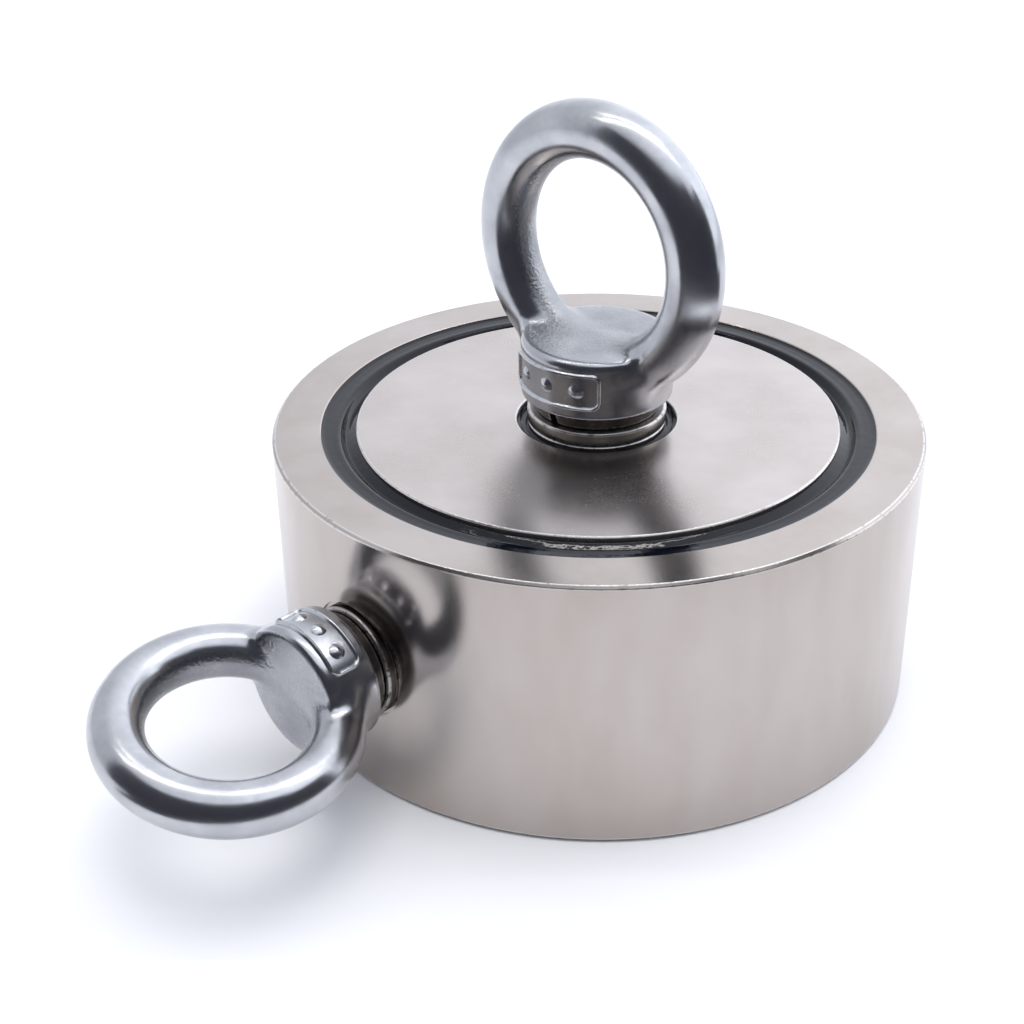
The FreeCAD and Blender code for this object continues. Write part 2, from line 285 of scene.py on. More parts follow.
metalLooks = {
    # Colours, roughness from shiny to dull, sizes of stains and grain and depths of grain and ripple in mm.
    # stretch squeezes the stains' scale along each axis, skin is the extra dullness of unpolished casting.
    # All grain is drawn several times coarser than the real one, so that it stays steady from view to view.
    # nickel plate on the turned pot: a warm, slightly blurred mirror, with faint upright clouds
    "satinNickel": dict(light="#bbb3ae", dark="#aea59e", worn="#d2ceca", rough=(0.12, 0.18), stain=16.0,
                        grain=0.30, grainDepth=0.0022, stretch=(1.0, 1.0, 0.35), ripple=0.0, skin=0.0),
    # nickel plate on the ground disc: paler and softer than the pot, close to an even sheen
    "nickelDisc": dict(light="#c3bcb8", dark="#b9b1ac", worn="#cfcbc8", rough=(0.17, 0.24), stain=14.0,
                       grain=0.30, grainDepth=0.0018, stretch=(1.0, 1.0, 1.0), ripple=0.0, skin=0.0),
    # polished stainless casting: cold white and black bands that waver, pebbled grey where no wheel reached,
    # that grey partly painted shade
    "castStainless": dict(light="#bfc0c3", dark="#adafb3", worn="#d2d4d8", rough=(0.14, 0.22), stain=5.0,
                          grain=0.50, grainDepth=0.0035, stretch=(1.0, 1.0, 1.0), ripple=0.007, skin=0.09),
    # zinc-plated steel: plain mid grey, half dull
    "zincSteel": dict(light="#a8a5a1", dark="#8e8a86", worn="#c9c6c3", rough=(0.20, 0.34), stain=4.0,
                      grain=0.25, grainDepth=0.0040, stretch=(1.0, 1.0, 1.0), ripple=0.0, skin=0.0),
    # hardened spring steel: dark brownish grey with pale rubbed edges
    "springSteel": dict(light="#6a6561", dark="#4a4643", worn="#a5a19e", rough=(0.20, 0.36), stain=3.0,
                        grain=0.22, grainDepth=0.0040, stretch=(1.0, 1.0, 1.0), ripple=0.0, skin=0.0),
    # nickel-coated sintered magnet: flat pale grey, sealed in and out of sight
    "sinteredMagnet": dict(light="#b9b8b8", dark="#a19f9e", worn="#dcdcdc", rough=(0.30, 0.42), stain=5.0,
                           grain=0.30, grainDepth=0.0040, stretch=(1.0, 1.0, 1.0), ripple=0.0, skin=0.0),
}
# What all metals share. Ranges are of the noise value, sizes and depths in mm. The knocks along the edges are
# drawn coarser than real ones, which could not be told apart from here.
wear = dict(stainRange=(0.35, 0.68), knock=0.9, knockRange=(0.34, 0.44), chipDepth=0.004, chipStrength=0.3,
            grainDull=0.08, wave=3.5, skinDullAndPaintedShade=0.74, skinDeeper=34.0)


def makeMetal(name):
    # Plated or polished metal: a mirror blurred by fine grain, faint stains, and edges rubbed brighter.
    look = metalLooks[name]
    material, tree, shader, coordinates = newMaterial(name)
    edge, skin = mark(tree, "edge"), mark(tree, "skin")
    stretched = addNode(tree, "ShaderNodeMapping", None, {"Vector": coordinates, "Scale": look["stretch"]})
    stain = remapped(tree, noise(tree, stretched.outputs[0], look["stain"], 4.0, 0.55), *wear["stainRange"])
    grain = noise(tree, coordinates, look["grain"], 3.0, 0.6)
    knocks = remapped(tree, noise(tree, coordinates, wear["knock"]), *wear["knockRange"])
    worn = maths(tree, "MULTIPLY", edge, knocks)
    base = blended(tree, stain, colour(look["dark"]), colour(look["light"]))
    tint = blended(tree, worn, base, colour(look["worn"]))
    # the skin mark darkens the colour: partly the duller cast skin, partly painted shade inside the ring and
    # on the hub's top
    shade = remapped(tree, skin, 0.0, 1.0, 1.0, wear["skinDullAndPaintedShade"])
    body = addNode(tree, "ShaderNodeVectorMath", {"operation": "SCALE"}, {0: tint, "Scale": shade})
    link(tree, body.outputs[0], shader.inputs["Base Color"])
    shine = remapped(tree, stain, 0.0, 1.0, look["rough"][1], look["rough"][0])
    dull = maths(tree, "MULTIPLY_ADD", skin, look["skin"], shine)
    link(tree, maths(tree, "MULTIPLY_ADD", grain, wear["grainDull"], dull), shader.inputs["Roughness"])
    waves = noise(tree, coordinates, wear["wave"], 1.0)
    peel = bump(tree, waves, max(look["ripple"], 0.001), 1.0 if look["ripple"] else 0.0)
    tall = maths(tree, "MULTIPLY", grain, maths(tree, "MULTIPLY_ADD", skin, wear["skinDeeper"], 1.0))
    tooth = bump(tree, tall, look["grainDepth"], 1.0, peel)
    chip = bump(tree, worn, wear["chipDepth"], wear["chipStrength"], tooth)
    link(tree, chip, shader.inputs["Normal"])
    shader.inputs["Metallic"].default_value = 1.0
    return material


# Cast black epoxy: deep blue-black and wet-looking, set in slow waves that break its highlights up, with a
# little dust. The dust is drawn coarser than the real one. wave, waveDepth and speck are in mm.
epoxyLook = dict(deep="#050811", dusty="#0b101d", rough=(0.05, 0.12), wave=1.7, waveDepth=0.03, speck=0.35,
                 dustRange=(0.56, 0.75), refraction=1.5, gleam=0.27)


def makeEpoxy():
    look = epoxyLook
    material, tree, shader, coordinates = newMaterial("castEpoxy")
    dust = remapped(tree, noise(tree, coordinates, look["speck"], 3.0), *look["dustRange"])
    link(tree, blended(tree, dust, colour(look["deep"]), colour(look["dusty"])), shader.inputs["Base Color"])
    link(tree, remapped(tree, dust, 0.0, 1.0, *look["rough"]), shader.inputs["Roughness"])
    wave = noise(tree, coordinates, look["wave"])
    link(tree, bump(tree, wave, look["waveDepth"]), shader.inputs["Normal"])
    shader.inputs["IOR"].default_value = look["refraction"]
    shader.inputs["Specular IOR Level"].default_value = look["gleam"]
    return material


materials = {name: makeMetal(name) for name in metalLooks}
materials["castEpoxy"] = makeEpoxy()
print("materials:", ", ".join(materials))


def finish(obj, material):
    obj.data.materials.clear()
    obj.data.materials.append(materials[material])
    return obj


# screw thread: raises a helical ridge wherever a turned wall is marked "thread"
threadShape = dict(crest=0.07, flank=0.30)  # half crest and flank, as shares of the pitch


def threadTree():
    tree = bpy.data.node_groups.new("screwThread", "GeometryNodeTree")
    sockets = {}
    kinds = dict(Mesh="Geometry", Pitch="Float", Height="Float", Phase="Float", Crest="Float", Flank="Float",
                 Finish="Material")
    for name, kind in kinds.items():
        sockets[name] = tree.interface.new_socket(name, in_out="INPUT", socket_type="NodeSocket" + kind)
    tree.interface.new_socket("Mesh", in_out="OUTPUT", socket_type="NodeSocketGeometry")
    given = addNode(tree, "NodeGroupInput").outputs
    place = addNode(tree, "GeometryNodeInputPosition")
    x, y, z = addNode(tree, "ShaderNodeSeparateXYZ", None, {0: place.outputs[0]}).outputs
    # how far round the helix a point is, in turns, and from that how far from the ridge's middle
    rise = maths(tree, "DIVIDE", z, given["Pitch"])
    turn = maths(tree, "MULTIPLY_ADD", maths(tree, "ARCTAN2", y, x), -0.5 / math.pi, rise)
    along = maths(tree, "FRACT", maths(tree, "ADD", turn, given["Phase"]))
    away = maths(tree, "ABSOLUTE", maths(tree, "SUBTRACT", along, 0.5))
    foot = maths(tree, "ADD", given["Crest"], given["Flank"])
    ridge = remapped(tree, away, given["Crest"], foot, 1.0, 0.0)
    share = addNode(tree, "GeometryNodeInputNamedAttribute", {"data_type": "FLOAT"}, {"Name": "thread"})
    lift = maths(tree, "MULTIPLY", maths(tree, "MULTIPLY", ridge, given["Height"]), share.outputs[0])
    outward = addNode(tree, "ShaderNodeCombineXYZ", None, {0: x, 1: y})
    unit = addNode(tree, "ShaderNodeVectorMath", {"operation": "NORMALIZE"}, {0: outward.outputs[0]})
    offset = addNode(tree, "ShaderNodeVectorMath", {"operation": "SCALE"}, {0: unit.outputs[0], "Scale": lift})
    moved = addNode(tree, "GeometryNodeSetPosition", None, {
        "Geometry": given["Mesh"], "Offset": offset.outputs[0]})
    real = addNode(tree, "GeometryNodeRealizeInstances", None, {0: moved.outputs[0]})
    painted = addNode(tree, "GeometryNodeSetMaterial", None, {
        "Geometry": real.outputs[0], "Material": given["Finish"]})
    addNode(tree, "NodeGroupOutput", None, {0: painted.outputs[0]})
    return tree, sockets


screwThread, threadInputs = threadTree()


def cutThread(obj, pitch, height, phase, material):
    modifier = obj.modifiers.new("thread", "NODES")
    modifier.node_group = screwThread
    values = {"Pitch": pitch * mm, "Height": height * mm, "Phase": phase, "Crest": threadShape["crest"],
              "Flank": threadShape["flank"], "Finish": materials[material]}
    for name, value in values.items():
        modifier[threadInputs[name].identifier] = value
    return evaluated(obj)


# the pot with its threaded side hole
pot = dict(rimWall=7.0, outerChamfer=0.4, innerEdge=0.12, round=0.15, wallRings=19, wallInset=2.0)
core = dict(chamfer=0.3, edge=0.08, innerEdge=0.05)
# major and mouth are radii, spot is a diameter, and the side hole's depth is measured from the pot's axis
sideHole = dict(spot=17.0, spotDepth=0.85, mouth=4.75, major=4.05, ridge=0.60, pitch=1.25, depth=32.7)
topHole = dict(major=5.05, ridge=0.65, pitch=1.5, depth=16.05, mouth=5.75)
lowerHole = dict(major=5.05, depth=15.0)
# ring spacing, run-out of the thread at its ends, half angle of the tip in degrees, overshoot of the drill
drilling = dict(step=0.16, fade=1.2, cone=59.0, overshoot=2.0)
tipSlope = math.tan(math.radians(drilling["cone"]))


def buildPot():
    r, h, c, e, soft = potRadius, potHeight, pot["outerChamfer"], pot["innerEdge"], pot["round"]
    inner, inset = r - pot["rimWall"], pot["wallInset"]
    outline = softOutline([
        (coreRadius, webLow), (inner, webLow), (inner, e, 0), (inner + e, 0, 0),
        (r - c, 0, soft), (r, c, soft),
        *[(r, z) for z in np.linspace(inset, h - inset, pot["wallRings"])],
        (r, h - c, soft), (r - c, h, soft), (inner + e, h, 0), (inner, h - e, 0), (inner, webHigh),
        (coreRadius, webHigh)], True)
    body = newObject("nickelPot", turnedMesh("nickelPot", outline))
    hole = sideHole
    wall = r - hole["spotDepth"]
    tip = hole["depth"] - hole["major"] / tipSlope
    flat = wall - (hole["mouth"] - hole["major"])
    past, spot = r + drilling["overshoot"], hole["spot"] / 2
    line = [(p, z, 0.0) for p, z in threadedLine(hole["major"], hole["depth"], flat, drilling["step"])]
    cutter = [(0, tip, 0.0)] + line + [
        (hole["mouth"], wall, 0.0), (spot, wall, 0.0), (spot, past, 0.0), (0, past, 0.0)]
    threads = [(hole["depth"], flat, drilling["fade"], hole["major"])]
    drill = newObject("sideDrill", turnedMesh("sideDrill", cutter, False, 96, threads))
    # the drill is built about the pot's axis, then laid along the side bolt, in step with its thread
    lift = (Vector((0, 0, sidePlace.translation.z)) - sidePlace.translation).length / mm
    cutThread(drill, hole["pitch"], -hole["ridge"], 0.5 - lift / hole["pitch"], "satinNickel")
    put(drill, sidePlace @ Matrix.Translation((0, 0, -lift * mm)))
    cut = body.modifiers.new("sideHole", "BOOLEAN")
    cut.object = drill
    cut.operation = "DIFFERENCE"
    cut.solver = "EXACT"
    evaluated(body)
    body.data.set_sharp_from_angle(angle=sharpAngle)
    bpy.data.objects.remove(drill)
    return finish(body, "satinNickel")


def buildCore():
    top, low = topHole, lowerHole
    h, c, edge = potHeight, core["chamfer"], core["edge"]
    cone = top["major"] / tipSlope
    upperEnd = h - top["depth"]
    flare = top["mouth"] - top["major"]
    step, fade = drilling["step"], drilling["fade"]
    wall = [(p, z, 0.0) for p, z in threadedLine(low["major"], low["depth"], c, step)]
    upper = [(p, z, 0.0) for p, z in threadedLine(top["major"], h - flare, upperEnd, step)]
    outside = softOutline([
        (low["major"], c), (low["major"] + c, 0, core["innerEdge"]), (coreRadius - c, 0, edge),
        (coreRadius, c, edge), (coreRadius, h - c, edge), (coreRadius - c, h, edge), (top["mouth"], h, edge),
        (top["major"], h - flare)], False)
    outline = [(0, low["depth"] + cone, 0.0)] + wall + outside[1:-1] + upper + [(0, upperEnd - cone, 0.0)]
    threads = [(c, low["depth"], fade, low["major"]), (upperEnd, h - flare, fade, top["major"])]
    body = newObject("threadedCore", turnedMesh("threadedCore", outline, False, 96, threads))
    seat = topPlace.translation.z / mm
    turn = math.atan2(topPlace[1][0], topPlace[0][0]) / (2 * math.pi)
    cutThread(body, top["pitch"], -top["ridge"], 0.5 - seat / top["pitch"] + turn, "zincSteel")
    return finish(body, "zincSteel")


nickelPot = buildPot()
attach(nickelPot, "magnet")
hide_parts("steel_pot")
threadedCore = buildCore()
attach(threadedCore, "magnet")
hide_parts("threaded_core")
print("pot and core:", len(nickelPot.data.polygons), "and", len(threadedCore.data.polygons), "faces")


# pole discs and the epoxy that seals them, drawn for the upper end and turned over for the lower
disc = dict(chamfer=0.5, holeEdge=0.15, rimEdge=0.2)
sealShape = dict(step=0.07, soften=0.14)  # spacing of the rings, and how far each way the profile is averaged
# (distance from the inner wall, depth under the faces): the epoxy shrank most beside the disc, which leaves
# a groove there with a flank climbing back up the disc's wall
seals = {
    "Outer": [(0, 0.80), (0.3, 0.97), (1.15, 1.38), (1.45, 1.45), (1.9, 1.05), (2.2, 0.62), (2.6, 0.48),
              (3.4, 0.50), (4.4, 0.45), (4.8, 0.36), (5.0, 0.26)],
    "Core": [(0, 0.90), (0.4, 1.15), (0.9, 1.15), (1.2, 0.85), (1.45, 0.40), (1.6, 0.14)],
}


def buildSeal(name, kind, inner, outer, around):
    far, deep = np.array(seals[kind]).T
    steps = int(round(far[-1] / sealShape["step"]))
    at = np.linspace(0, far[-1], steps + 1)
    shifts = np.linspace(-sealShape["soften"], sealShape["soften"], 9)
    depth = np.mean([np.interp(at + shift, far, deep) for shift in shifts], 0)
    rings = inner + at * (outer - inner) / far[-1]
    outline = [(r, potHeight - d, 0.0) for r, d in zip(rings, depth)]
    outline += [(outer, webHigh, 0.0), (inner, webHigh, 0.0)]
    return finish(newObject(name, turnedMesh(name, outline, True, around)), "castEpoxy")


def buildDisc(name):
    c, hole, rimEdge = disc["chamfer"], disc["holeEdge"], disc["rimEdge"]
    outline = softOutline([
        (holeRadius, discLow + c), (holeRadius, potHeight - hole), (holeRadius + hole, potHeight),
        (discRadius - rimEdge, potHeight), (discRadius, potHeight - rimEdge), (discRadius, discLow + c),
        (discRadius - c, discLow), (holeRadius + c, discLow)], True)
    return finish(newObject(name, turnedMesh(name, outline)), "nickelDisc")


flip = Matrix.Translation((0, 0, potHeight * mm)) @ Matrix.Rotation(math.pi, 4, "X")
polishedDiscs = []
for side in ("upper", "lower"):
    made = [
        (buildDisc(f"{side}PoleDisc"), "pole_disc", "nickel_disc"),
        (buildSeal(f"{side}OuterSeal", "Outer", discRadius, sealRadius, 256), "outer_resin", "resin"),
        (buildSeal(f"{side}CoreSeal", "Core", coreRadius, holeRadius, 128), "core_resin", "resin"),
    ]
    polishedDiscs.append(made[0][0])
    for piece, node, slot in made:
        if side == "lower":
            put(piece, flip)
        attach(piece, "magnet")
        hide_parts(f"{side}_{node}")
    # the ring magnets stay as designed, sealed in between disc, epoxy and web
    finish(frame["nodes"][f"{side}_ring_magnet"], "sinteredMagnet")
print("both ends filled")


# washers
washers = {
    "top": dict(hole=10.5, flat=20.2, flatThick=2.0, spring=18.1, springThick=2.2, slitAt=-90.0),
    "side": dict(hole=8.5, flat=16.0, flatThick=1.6, spring=14.8, springThick=2.2, slitAt=130.0),
}
slit = dict(width=1.3, slant=20.0)
washerEdges = dict(stamped=0.2, punchedOuter=0.4, punchedInner=0.3, rolled=0.3)
seatGap = 0.05


def buildFlatWasher(name, sizes, high):
    # stamped: the face that met the punch has a rounder edge
    inner, outer, low = sizes["hole"] / 2, sizes["flat"] / 2, high - sizes["flatThick"]
    edges = washerEdges
    outline = softOutline([
        (inner, low, edges["stamped"]), (outer, low, edges["stamped"]), (outer, high, edges["punchedOuter"]),
        (inner, high, edges["punchedInner"])], True)
    return finish(newObject(name, turnedMesh(name, outline, True, 128)), "zincSteel")


def buildSpringWasher(name, sizes, high):
    # rolled bar bent round, cut on a slant
    inner, outer, thick = sizes["hole"] / 2, sizes["spring"] / 2, sizes["springThick"]
    low, soft = high - thick, washerEdges["rolled"]
    section = softOutline([
        (inner, low, soft), (outer, low, soft), (outer, high, soft), (inner, high, soft)], True)
    middle = (inner + outer) / 2
    slant = math.tan(math.radians(slit["slant"])) / middle
    around = 120
    points, marks, faces = [], {"edge": []}, []
    for k in range(around + 1):
        for r, z, e in section:
            half = math.asin(slit["width"] / 2 / r)
            start = math.radians(sizes["slitAt"]) - (z - high + thick / 2) * slant
            a = start + half + (2 * math.pi - 2 * half) * k / around
            points.append((r * math.cos(a), r * math.sin(a), z))
            marks["edge"].append(max(e, 1.0 if k in (0, around) else 0.0))
    count = len(section)
    for k in range(around):
        for i in range(count):
            j = (i + 1) % count
            faces.append([k * count + i, k * count + j, (k + 1) * count + j, (k + 1) * count + i])
    faces.append([i for i in range(count)])
    faces.append([around * count + i for i in reversed(range(count))])
    return finish(newObject(name, buildMesh(name, points, faces, marks)), "springSteel")


for kind, place in (("top", topPlace), ("side", sidePlace)):
    sizes = washers[kind]
    # drawn below the seat on the bolt's axis, but not turned with the ring, so slitAt is a fixed direction
    level = Matrix.Translation(place.translation)
    if kind == "side":
        level = level @ Matrix.Rotation(math.pi / 2, 4, "X")
    spring = put(buildSpringWasher(f"{kind}SpringWasher", sizes, -seatGap), level)
    flat = put(buildFlatWasher(f"{kind}FlatWasher", sizes, -2 * seatGap - sizes["springThick"]), level)
    # the side's flat washer is zinc steel like the top one; it takes the dark spring-steel finish as painted
    # shade, for the shadow it lies in between hub and wall
    if kind == "side":
        finish(flat, "springSteel")
    for piece, node, slot in ((spring, "spring", "spring_steel"), (flat, "flat", "bright_steel")):
        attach(piece, f"{kind}_washers")
        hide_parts(f"{kind}_{node}_washer")
print("washers done")


# eye bolts: ring and hub flow into each other, with a framed panel of three pips on the hub
eyes = {
    "top": dict(mean=33.9, bar=8.0, centre=21.05, hub=21.8, hubHigh=8.7, topRound=1.3, seatRound=0.5,
                blend=1.5, shank=10.0, reach=18.0, pitch=1.5, ridge=0.75, panelHigh=5.7, sweep=88.0,
                voxel=0.32),
    "side": dict(mean=28.1, bar=7.2, centre=17.75, hub=18.6, hubHigh=7.8, topRound=1.1, seatRound=0.45,
                 blend=1.3, shank=8.0, reach=15.0, pitch=1.25, ridge=0.65, panelHigh=5.1, sweep=88.0,
                 voxel=0.28),
}
panel = dict(ridgeWide=0.42, ridgeHigh=0.38, corner=1.1, margin=0.15, pip=1.3, pipHigh=0.45, pipStep=25.0,
             sunk=0.12, back=0.9, fullness=1.2, columns=180, rows=44, wornHeight=0.5, worn=0.6)
fillet = dict(depth=4.0, growth=1.2)  # below the hub's top the blend widens by this share over this depth
smoothing = dict(rounds=22, relaxed=17, pull=0.6)
# the mask below also sets where the metal's colour takes its painted shade
castSkinAndPaintedShade = dict(start=0.55, fade=0.35)  # how squarely a face looks at the ring's centre where the skin sets in
shankShape = dict(clear=0.05, step=0.14, fade=1.1, root=2.0, relief=1.9, taper=1.0)


def smoothLow(a, b, reach):
    # the lesser of two distances, rounded over where they are close
    h = np.maximum(reach - np.abs(a - b), 0) / reach
    return np.minimum(a, b) - h * h * reach / 4


def eyeDistance(points, eye):
    x, y, z = points.T
    ring = np.hypot(np.hypot(x, z - eye["centre"]) - eye["mean"] / 2, y) - eye["bar"] / 2
    side = np.hypot(x, y) - eye["hub"] / 2
    hub = -smoothLow(-side, eye["hubHigh"] - z, eye["topRound"])
    # tight corners on the hub's top, a generous fillet where the ring leaves its side lower down
    down = np.clip((eye["hubHigh"] - z) / fillet["depth"], 0, 1)
    whole = smoothLow(ring, hub, eye["blend"] * (1 + fillet["growth"] * down * down * (3 - 2 * down)))
    return -smoothLow(-whole, z, eye["seatRound"])


def slope(points, eye):
    # which way and how steeply the distance grows
    step = 1e-3
    parts = []
    for axis in range(3):
        shift = np.zeros(3)
        shift[axis] = step
        parts.append((eyeDistance(points + shift, eye) - eyeDistance(points - shift, eye)) / (2 * step))
    return np.stack(parts, 1)


def buildRingAndHub(name, eye):
    # rough shells are fused, then every point is drawn onto the exact blended surface
    r, high, around = eye["hub"] / 2, eye["hubHigh"], 96
    hub = newObject("hubShell", turnedMesh("hubShell", [
        (0, 0.02, 0), (r - 0.2, 0.02, 0), (r - 0.05, 0.3, 0), (r - 0.05, high - 0.5, 0),
        (r - 0.5, high - 0.05, 0), (0, high - 0.05, 0)], False, around))
    section = [(eye["mean"] / 2 + eye["bar"] / 2 * math.cos(a), eye["bar"] / 2 * math.sin(a), 0)
               for a in np.arange(32) * 2 * math.pi / 32]
    ring = newObject("ringShell", turnedMesh("ringShell", section, True, around))
    put(ring, Matrix.Translation((0, 0, eye["centre"] * mm)) @ Matrix.Rotation(math.pi / 2, 4, "X"))
    body = joined(name, [hub, ring])
    fuse = body.modifiers.new("fuse", "REMESH")
    fuse.mode = "VOXEL"
    fuse.voxel_size = eye["voxel"] * mm
    evaluated(body)
    mesh = body.data
    count = len(mesh.vertices)
    points = np.empty(count * 3)
    mesh.vertices.foreach_get("co", points)
    points = points.reshape(-1, 3) / mm
    ends = np.empty(len(mesh.edges) * 2, dtype=np.int64)
    mesh.edges.foreach_get("vertices", ends)
    ends = ends.reshape(-1, 2)
    links = np.bincount(ends.ravel(), minlength=count)[:, None]
    for turn in range(smoothing["rounds"]):
        if turn < smoothing["relaxed"]:
            total = np.zeros_like(points)
            for axis in range(3):
                total[:, axis] = (np.bincount(ends[:, 0], points[ends[:, 1], axis], count)
                                  + np.bincount(ends[:, 1], points[ends[:, 0], axis], count))
            points += smoothing["pull"] * (total / links - points)
        steep = slope(points, eye)
        points -= steep * (eyeDistance(points, eye) / np.maximum((steep ** 2).sum(1), 0.2))[:, None]
    mesh.vertices.foreach_set("co", (points * mm).ravel())
    # rougher casting skin where no polishing wheel reached: inside the ring and on the hub's top. The same
    # mark also darkens the colour there, partly as painted shade.
    steep = slope(points, eye)
    steep /= np.linalg.norm(steep, axis=1)[:, None]
    toCentre = np.array([0, 0, eye["centre"]]) - points
    toCentre /= np.linalg.norm(toCentre, axis=1)[:, None]
    skin = np.clip(((steep * toCentre).sum(1) - castSkinAndPaintedShade["start"]) / castSkinAndPaintedShade["fade"], 0, 1)
    layer = mesh.attributes.new("skin", "FLOAT", "POINT")
    layer.data.foreach_set("value", skin.astype(np.float32))
    mesh.polygons.foreach_set("use_smooth", [True] * len(mesh.polygons))
    mesh.update()
    return body


def buildPanel(name, eye):
    # curved slab let into the hub: only the frame's ridge and the pips stand out of it
    r, across, up, sunk = eye["hub"] / 2, panel["columns"], panel["rows"], panel["sunk"]
    half = math.radians(eye["sweep"]) / 2
    low = (eye["hubHigh"] - eye["panelHigh"]) / 2
    angles = np.linspace(-half, half, across + 1)
    heights = np.linspace(0, eye["panelHigh"], up + 1)
    a, h = np.meshgrid(angles, heights, indexing="ij")
    inset = panel["ridgeWide"] / 2 + panel["margin"]
    bend = panel["corner"]
    flatX = np.abs(a * r) - (half * r - inset - bend)
    flatZ = np.abs(h - eye["panelHigh"] / 2) - (eye["panelHigh"] / 2 - inset - bend)
    outside = np.hypot(np.maximum(flatX, 0), np.maximum(flatZ, 0))
    outline = outside + np.minimum(np.maximum(flatX, flatZ), 0) - bend
    full = panel["fullness"]
    raised = np.clip(1 - (outline / panel["ridgeWide"]) ** 2, 0, 1) ** full * (panel["ridgeHigh"] + sunk)
    for k in (-1, 0, 1):
        away = np.hypot((a - math.radians(panel["pipStep"]) * k) * r, h - eye["panelHigh"] / 2) / panel["pip"]
        raised = np.maximum(raised, np.clip(1 - away ** 2, 0, 1) ** full * (panel["pipHigh"] + sunk))
    outer = r - sunk + raised
    inner = np.full_like(outer, r - panel["back"])
    points = []
    for radius in (outer, inner):
        points.append(np.stack([radius * np.sin(a), -radius * np.cos(a), h + low], -1).reshape(-1, 3))
    rows = up + 1
    count = (across + 1) * rows
    faces = []
    for i in range(across):
        for j in range(up):
            quad = [i * rows + j, (i + 1) * rows + j, (i + 1) * rows + j + 1, i * rows + j + 1]
            faces.append(quad)
            faces.append([count + v for v in reversed(quad)])
    border = ([i * rows for i in range(across + 1)] + [across * rows + j for j in range(1, rows)]
              + [i * rows + up for i in range(across - 1, -1, -1)] + [j for j in range(up - 1, 0, -1)])
    for k, v in enumerate(border):
        n = border[(k + 1) % len(border)]
        faces.append([n, v, count + v, count + n])
    rubbed = np.clip(raised / panel["wornHeight"], 0, 1).ravel() * panel["worn"]
    edge = np.concatenate([rubbed, np.zeros(count)])
    return newObject(name, buildMesh(name, np.concatenate(points), faces, {"edge": edge}))


def buildShank(name, eye):
    # runs from inside the hub, past the turned relief, to the chamfered tip
    shape = shankShape
    root = eye["shank"] / 2 - shape["clear"] - eye["ridge"]
    tip = -eye["reach"]
    start, end = -shape["relief"], tip + shape["taper"]
    wall = [(p, z, 0.0) for p, z in threadedLine(root, start, end, shape["step"])]
    neck = [(0, shape["root"], 0.0), (root - 0.1, shape["root"], 0.0), (root - 0.1, start + 0.1, 0.0)]
    point = [(root - 0.5, tip + 0.2, 0.0), (root - 0.8, tip, 0.0), (0, tip, 0.0)]
    outline = neck + wall + point
    shank = newObject(name, turnedMesh(name, outline, False, 96, [(end, start, shape["fade"], root)]))
    return cutThread(shank, eye["pitch"], eye["ridge"], 0.0, "castStainless")


for kind, place in (("top", topPlace), ("side", sidePlace)):
    eye = eyes[kind]
    shell = buildRingAndHub(f"{kind}EyeShell", eye)
    whole = joined(f"{kind}EyeBolt", [shell, buildPanel(f"{kind}Panel", eye), buildShank(f"{kind}Shank", eye)])
    finish(put(whole, place), "castStainless")
    whole.data.polygons.foreach_set("material_index", [0] * len(whole.data.polygons))
    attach(whole, f"{kind}_eye")
    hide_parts(f"{kind}_eye_bolt")
    print(whole.name, len(whole.data.polygons), "faces")


# floor, light and camera
# matt white paper under the object, with clouds far wider than any fibre; radius and drop in metres, and the
# drop keeps the paper clear of the pot's foot
studio = dict(paper="#f4f5f8", shade="#f1f2f5", radius=3.0, drop=0.0002, sides=64, clouds=60.0, rough=0.9)
floorMesh = bpy.data.meshes.new("floor")
rim = [(studio["radius"] * math.cos(a), studio["radius"] * math.sin(a), -studio["drop"])
       for a in np.arange(studio["sides"]) * 2 * math.pi / studio["sides"]]
floorMesh.from_pydata(rim, [], [list(range(studio["sides"]))])
floor = newObject("floor", floorMesh)
floorMaterial, floorNodes, floorShader, floorPlace = newMaterial("matPaper")
clouds = addNode(floorNodes, "ShaderNodeTexNoise", None, {"Vector": floorPlace, "Scale": studio["clouds"]})
paper = blended(floorNodes, clouds.outputs[0], colour(studio["paper"]), colour(studio["shade"]))
link(floorNodes, paper, floorShader.inputs["Base Color"])
floorShader.inputs["Roughness"].default_value = studio["rough"]
floorMesh.materials.append(floorMaterial)

# White tent: brighter towards the right, dim behind the camera but not overhead. right and front are
# directions seen from the object, reach, frontRange and highRange are how far along them a change takes.
tent = dict(right=(0.688, 0.726, 0.0), dimSide=0.96, brightSide=1.88, reach=0.50, front=(0.726, -0.688, 0.0),
            frontDim=0.34, frontRange=(0.05, 0.50), highRange=(0.72, 0.90), tint="#eff3fc")
world = bpy.data.worlds.new("studio")
world.use_nodes = True
sky = world.node_tree
sky.nodes.clear()
toward = addNode(sky, "ShaderNodeTexCoord").outputs["Generated"]
aside = addNode(sky, "ShaderNodeVectorMath", {"operation": "DOT_PRODUCT"}, {0: toward, 1: tent["right"]})
nearer = addNode(sky, "ShaderNodeVectorMath", {"operation": "DOT_PRODUCT"}, {0: toward, 1: tent["front"]})
height = addNode(sky, "ShaderNodeSeparateXYZ", None, {0: toward})
reach = tent["reach"]
wall = remapped(sky, aside.outputs["Value"], -reach, reach, tent["dimSide"], tent["brightSide"])
overhead = remapped(sky, height.outputs[2], *tent["highRange"], tent["frontDim"], 1.0)
front = remapped(sky, nearer.outputs["Value"], *tent["frontRange"], 1.0, overhead)
bright = maths(sky, "MULTIPLY", wall, front)
glow = addNode(sky, "ShaderNodeBackground", None, {"Color": colour(tent["tint"]), "Strength": bright})
addNode(sky, "ShaderNodeOutputWorld", None, {"Surface": glow.outputs[0]})
bpy.context.scene.world = world

